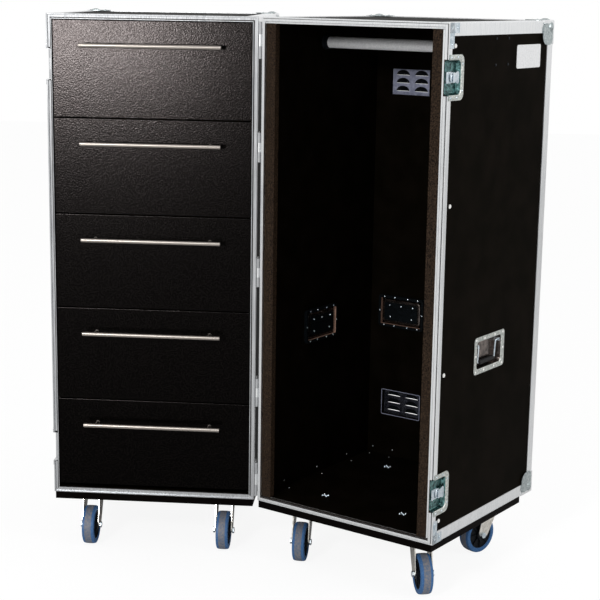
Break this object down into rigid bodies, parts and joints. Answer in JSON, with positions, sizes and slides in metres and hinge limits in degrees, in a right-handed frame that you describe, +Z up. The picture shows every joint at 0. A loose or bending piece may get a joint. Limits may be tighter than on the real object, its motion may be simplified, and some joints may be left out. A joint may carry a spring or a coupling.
{
  "type": "wardrobe flight case",
  "caption": "hinged road case on swivel casters, one half a hanging wardrobe with a rail and vents, the other a chest of drawers with long bar pulls",
  "frame": {"origin": "centre of the bounding box's footprint, at floor level under the casters", "axes": "+Z up, -Y the way the drawer fronts face, +X the wardrobe half's side"},
  "size_m": [1.2442, 0.7864, 1.3806],
  "materials": {
    "aluminium": "bright brushed",
    "blue_tyre": "blue elastic wheel with a pale tread",
    "board_black": "matt film with zinc plates",
    "brushed_steel": "brushed",
    "drawer_black": "fine black texture",
    "phenolic_ply": "matt brown-black phenolic film",
    "rubber": "steel rod with a black grip",
    "stile_brown": "matt brown-black",
    "white_rail": "pale satin",
    "zinc": "bright zinc plate over pressed steel"
  },
  "bodies": {
    "drawer_half": {"drawer_case_shell": "phenolic_ply", "drawer_front_rim": "aluminium", "drawer_edge_frame": "aluminium", "drawer_side_handle_dish": "zinc", "drawer_caster_board": "board_black"},
    "wardrobe_half": {"wardrobe_hinge_side_panel": "phenolic_ply", "wardrobe_latch_side_panel": "phenolic_ply", "wardrobe_floor_panel": "phenolic_ply", "wardrobe_top_panel": "phenolic_ply", "wardrobe_back_panel": "phenolic_ply", "wardrobe_front_rim": "aluminium", "wardrobe_edge_frame": "aluminium", "hinge_side_stile": "stile_brown", "latch_side_stile": "stile_brown", "garment_rail": "white_rail", "name_plate": "white_rail", "lower_vent": "zinc", "upper_vent": "zinc", "latch_side_handle_dish": "zinc", "hinge_side_handle_dish": "zinc", "back_handle_dish": "zinc", "upper_latch_dish": "zinc", "lower_latch_dish": "zinc", "wardrobe_caster_board": "board_black"},
    "drawer_1": {"drawer_1": "drawer_black", "drawer_1_pull": "brushed_steel"},
    "drawer_2": {"drawer_2": "drawer_black", "drawer_2_pull": "brushed_steel"},
    "drawer_3": {"drawer_3": "drawer_black", "drawer_3_pull": "brushed_steel"},
    "drawer_4": {"drawer_4": "drawer_black", "drawer_4_pull": "brushed_steel"},
    "drawer_5": {"drawer_5": "drawer_black", "drawer_5_pull": "brushed_steel"},
    "drawer_front_left_fork_body": {"drawer_front_left_fork": "zinc"},
    "drawer_front_left_wheel_body": {"drawer_front_left_wheel": "blue_tyre"},
    "drawer_front_right_fork_body": {"drawer_front_right_fork": "zinc"},
    "drawer_front_right_wheel_body": {"drawer_front_right_wheel": "blue_tyre"},
    "drawer_rear_left_fork_body": {"drawer_rear_left_fork": "zinc"},
    "drawer_rear_left_wheel_body": {"drawer_rear_left_wheel": "blue_tyre"},
    "drawer_rear_right_fork_body": {"drawer_rear_right_fork": "zinc"},
    "drawer_rear_right_wheel_body": {"drawer_rear_right_wheel": "blue_tyre"},
    "wardrobe_front_left_fork_body": {"wardrobe_front_left_fork": "zinc"},
    "wardrobe_front_left_wheel_body": {"wardrobe_front_left_wheel": "blue_tyre"},
    "wardrobe_front_right_fork_body": {"wardrobe_front_right_fork": "zinc"},
    "wardrobe_front_right_wheel_body": {"wardrobe_front_right_wheel": "blue_tyre"},
    "wardrobe_rear_left_fork_body": {"wardrobe_rear_left_fork": "zinc"},
    "wardrobe_rear_left_wheel_body": {"wardrobe_rear_left_wheel": "blue_tyre"},
    "wardrobe_rear_right_fork_body": {"wardrobe_rear_right_fork": "zinc"},
    "wardrobe_rear_right_wheel_body": {"wardrobe_rear_right_wheel": "blue_tyre"},
    "drawer_side_handle_body": {"drawer_side_handle": "rubber"},
    "latch_side_handle_body": {"latch_side_handle": "rubber"},
    "hinge_side_handle_body": {"hinge_side_handle": "rubber"},
    "back_handle_body": {"back_handle": "rubber"},
    "upper_latch_rotor_body": {"upper_latch_rotor": "zinc"},
    "upper_latch_hook_body": {"upper_latch_hook": "zinc"},
    "upper_latch_wing_body": {"upper_latch_wing": "zinc"},
    "lower_latch_rotor_body": {"lower_latch_rotor": "zinc"},
    "lower_latch_hook_body": {"lower_latch_hook": "zinc"},
    "lower_latch_wing_body": {"lower_latch_wing": "zinc"}
  },
  "joints": [
    {"name": "case_hinge", "type": "hinge", "parent": "drawer_half", "child": "wardrobe_half", "pos_m": [-0.0915, -0.1224, 0.155], "axis": [0, 0, 1], "range_deg": [-149, 30]},
    {"name": "drawer_1_slide", "type": "slide", "parent": "drawer_half", "child": "drawer_1", "axis": [0, -1, 0], "range_m": [0, 0.4]},
    {"name": "drawer_2_slide", "type": "slide", "parent": "drawer_half", "child": "drawer_2", "axis": [0, -1, 0], "range_m": [0, 0.4]},
    {"name": "drawer_3_slide", "type": "slide", "parent": "drawer_half", "child": "drawer_3", "axis": [0, -1, 0], "range_m": [0, 0.4]},
    {"name": "drawer_4_slide", "type": "slide", "parent": "drawer_half", "child": "drawer_4", "axis": [0, -1, 0], "range_m": [0, 0.4]},
    {"name": "drawer_5_slide", "type": "slide", "parent": "drawer_half", "child": "drawer_5", "axis": [0, -1, 0], "range_m": [0, 0.4]},
    {"name": "drawer_front_left_swivel", "type": "hinge", "parent": "drawer_half", "child": "drawer_front_left_fork_body", "pos_m": [-0.5325, -0.0344, 0], "axis": [0, 0, 1], "continuous": true},
    {"name": "drawer_front_left_spin", "type": "hinge", "parent": "drawer_front_left_fork_body", "child": "drawer_front_left_wheel_body", "pos_m": [-0.5325, -0.0694, 0.05], "axis": [1, 0, 0], "continuous": true},
    {"name": "drawer_front_right_swivel", "type": "hinge", "parent": "drawer_half", "child": "drawer_front_right_fork_body", "pos_m": [-0.1805, -0.0344, 0], "axis": [0, 0, 1], "continuous": true},
    {"name": "drawer_front_right_spin", "type": "hinge", "parent": "drawer_front_right_fork_body", "child": "drawer_front_right_wheel_body", "pos_m": [-0.1805, -0.0694, 0.05], "axis": [1, 0, 0], "continuous": true},
    {"name": "drawer_rear_left_swivel", "type": "hinge", "parent": "drawer_half", "child": "drawer_rear_left_fork_body", "pos_m": [-0.5325, 0.3036, 0], "axis": [0, 0, 1], "continuous": true},
    {"name": "drawer_rear_left_spin", "type": "hinge", "parent": "drawer_rear_left_fork_body", "child": "drawer_rear_left_wheel_body", "pos_m": [-0.54097, 0.26964, 0.05], "axis": [0.9703, -0.2419, 0], "continuous": true},
    {"name": "drawer_rear_right_swivel", "type": "hinge", "parent": "drawer_half", "child": "drawer_rear_right_fork_body", "pos_m": [-0.1805, 0.3036, 0], "axis": [0, 0, 1], "continuous": true},
    {"name": "drawer_rear_right_spin", "type": "hinge", "parent": "drawer_rear_right_fork_body", "child": "drawer_rear_right_wheel_body", "pos_m": [-0.16739, 0.27115, 0.05], "axis": [0.9272, 0.3746, 0], "continuous": true},
    {"name": "wardrobe_front_left_swivel", "type": "hinge", "parent": "wardrobe_half", "child": "wardrobe_front_left_fork_body", "pos_m": [0.03011, -0.09281, 0], "axis": [0, 0, 1], "continuous": true},
    {"name": "wardrobe_front_left_spin", "type": "hinge", "parent": "wardrobe_front_left_fork_body", "child": "wardrobe_front_left_wheel_body", "pos_m": [0.02706, -0.12767, 0.05], "axis": [0.9962, -0.0872, 0], "continuous": true},
    {"name": "wardrobe_front_right_swivel", "type": "hinge", "parent": "wardrobe_half", "child": "wardrobe_front_right_fork_body", "pos_m": [0.33183, -0.2741, 0], "axis": [0, 0, 1], "continuous": true},
    {"name": "wardrobe_front_right_spin", "type": "hinge", "parent": "wardrobe_front_right_fork_body", "child": "wardrobe_front_right_wheel_body", "pos_m": [0.3403, -0.30806, 0.05], "axis": [0.9703, 0.2419, 0], "continuous": true},
    {"name": "wardrobe_rear_left_swivel", "type": "hinge", "parent": "wardrobe_half", "child": "wardrobe_rear_left_fork_body", "pos_m": [0.20419, 0.19691, 0], "axis": [0, 0, 1], "continuous": true},
    {"name": "wardrobe_rear_left_spin", "type": "hinge", "parent": "wardrobe_rear_left_fork_body", "child": "wardrobe_rear_left_wheel_body", "pos_m": [0.1928, 0.16382, 0.05], "axis": [0.9455, -0.3256, 0], "continuous": true},
    {"name": "wardrobe_rear_right_swivel", "type": "hinge", "parent": "wardrobe_half", "child": "wardrobe_rear_right_fork_body", "pos_m": [0.50592, 0.01562, 0], "axis": [0, 0, 1], "continuous": true},
    {"name": "wardrobe_rear_right_spin", "type": "hinge", "parent": "wardrobe_rear_right_fork_body", "child": "wardrobe_rear_right_wheel_body", "pos_m": [0.48074, -0.00869, 0.05], "axis": [0.6947, -0.7193, 0], "continuous": true},
    {"name": "drawer_side_handle_pivot", "type": "hinge", "parent": "drawer_half", "child": "drawer_side_handle_body", "pos_m": [-0.6082, 0.1246, 0.603], "axis": [0, 1, 0], "range_deg": [0, 90], "stiffness_Nm_per_rad": 0.05},
    {"name": "latch_side_handle_pivot", "type": "hinge", "parent": "wardrobe_half", "child": "latch_side_handle_body", "pos_m": [0.47861, -0.1768, 0.603], "axis": [-0.515, -0.8572, 0], "range_deg": [0, 90], "stiffness_Nm_per_rad": 0.05},
    {"name": "hinge_side_handle_pivot", "type": "hinge", "parent": "wardrobe_half", "child": "hinge_side_handle_body", "pos_m": [0.04711, 0.08247, 0.603], "axis": [-0.515, -0.8572, 0], "range_deg": [-90, 0], "stiffness_Nm_per_rad": 0.05},
    {"name": "back_handle_pivot", "type": "hinge", "parent": "wardrobe_half", "child": "back_handle_body", "pos_m": [0.2689, 0.24635, 0.603], "axis": [0.8572, -0.515, 0], "range_deg": [0, 90], "stiffness_Nm_per_rad": 0.05},
    {"name": "upper_latch_turn", "type": "hinge", "parent": "wardrobe_half", "child": "upper_latch_rotor_body", "pos_m": [0.37293, -0.36879, 1.253], "axis": [0.8572, -0.515, 0], "range_deg": [0, 180]},
    {"name": "upper_latch_hook_slide", "type": "slide", "parent": "wardrobe_half", "child": "upper_latch_hook_body", "axis": [-0.515, -0.8572, 0], "range_m": [0, 0.012]},
    {"name": "upper_latch_wing_fold", "type": "hinge", "parent": "upper_latch_rotor_body", "child": "upper_latch_wing_body", "pos_m": [0.37062, -0.3674, 1.253], "axis": [0, 0, -1], "range_deg": [0, 90]},
    {"name": "lower_latch_turn", "type": "hinge", "parent": "wardrobe_half", "child": "lower_latch_rotor_body", "pos_m": [0.37293, -0.36879, 0.277], "axis": [0.8572, -0.515, 0], "range_deg": [0, 180]},
    {"name": "lower_latch_hook_slide", "type": "slide", "parent": "wardrobe_half", "child": "lower_latch_hook_body", "axis": [-0.515, -0.8572, 0], "range_m": [0, 0.012]},
    {"name": "lower_latch_wing_fold", "type": "hinge", "parent": "lower_latch_rotor_body", "child": "lower_latch_wing_body", "pos_m": [0.37062, -0.3674, 0.277], "axis": [0, 0, -1], "range_deg": [0, 90]}
  ],
  "couplings": [
    {"joint": "upper_latch_turn", "follows": "upper_latch_hook_slide", "rad_per_m": 261.77},
    {"joint": "lower_latch_turn", "follows": "lower_latch_hook_slide", "rad_per_m": 261.77}
  ]
}
